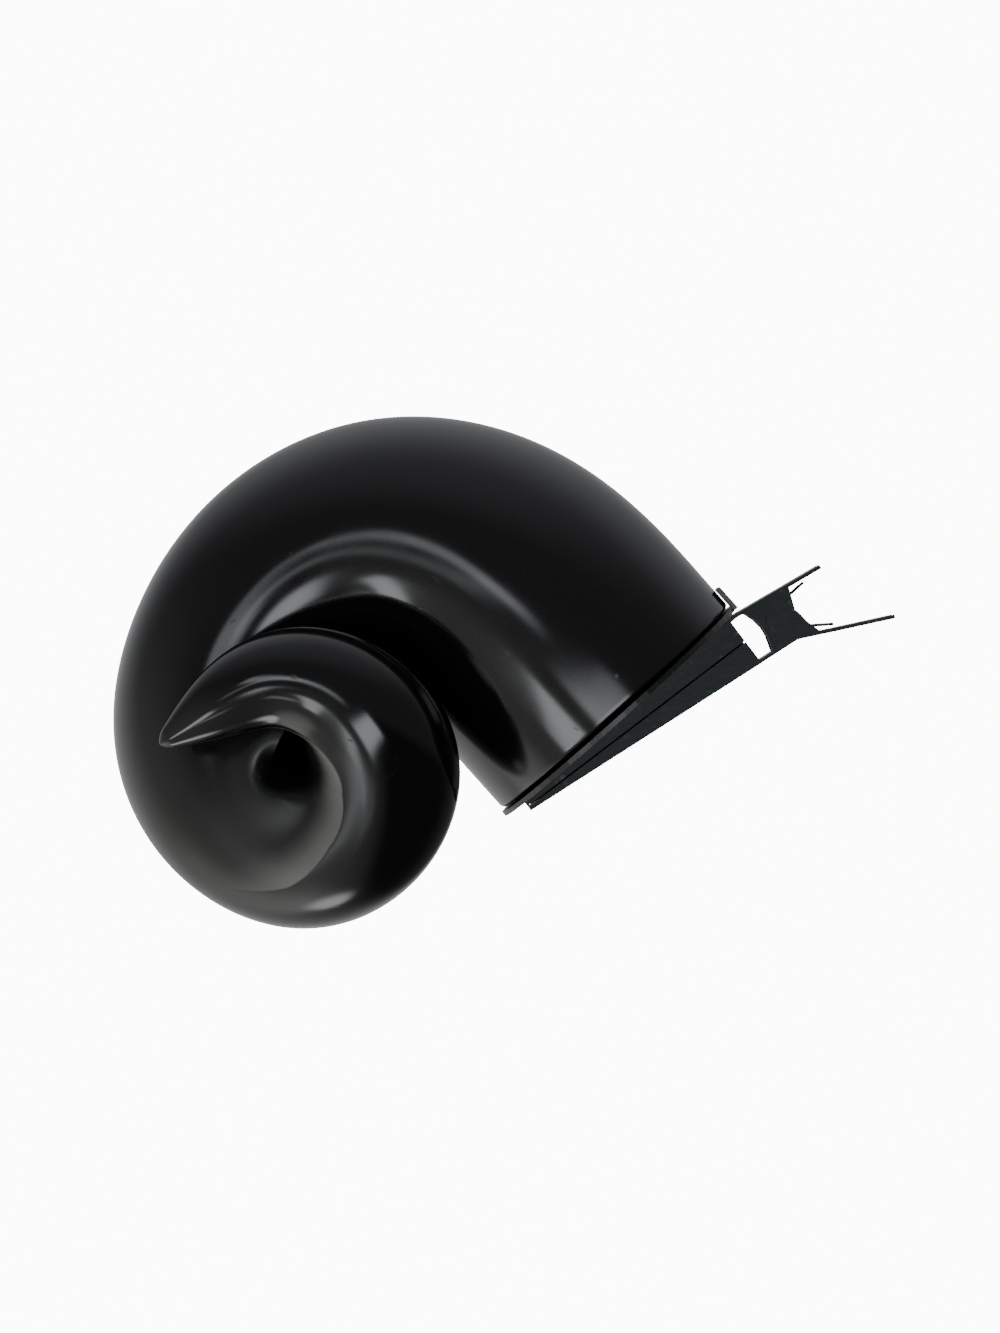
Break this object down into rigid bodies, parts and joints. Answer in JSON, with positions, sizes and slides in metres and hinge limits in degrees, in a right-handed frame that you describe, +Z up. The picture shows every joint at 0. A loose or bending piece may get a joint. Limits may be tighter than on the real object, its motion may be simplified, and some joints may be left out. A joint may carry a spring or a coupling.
{
  "type": "clip-on costume horn",
  "caption": "Glossy black hollow horn coiled like a ram's, closed by a round plate with a sprung metal hair clip behind it.",
  "frame": {"origin": "middle of the base plate's back, where the horn sits on the hair", "axes": "+Z up as worn, -Y to the front where the coil's tip shows, +X towards the clip's finger levers"},
  "size_m": [0.1262, 0.0615, 0.0832],
  "materials": {
    "horn": "glossy black moulded plastic, faint scratches and dust",
    "plate": "black painted sheet",
    "clip": "dark plated sheet steel",
    "spring": "drawn wire"
  },
  "bodies": {
    "horn": {"horn_shell": "horn", "base_plate": "plate", "clip_upper_arm": "clip", "clip_pin": "clip", "clip_spring": "spring"},
    "jaw": {"clip_lower_arm": "clip"}
  },
  "joints": [
    {"name": "clip_hinge", "type": "hinge", "parent": "horn", "child": "jaw", "pos_m": [0.02444, 0.00083, 0.01483], "axis": [0.1043, -0.9877, -0.1166], "range_deg": [0, 35], "stiffness_Nm_per_rad": 0.03, "springref_deg": -57.3, "deforming": ["clip_spring"]}
  ]
}
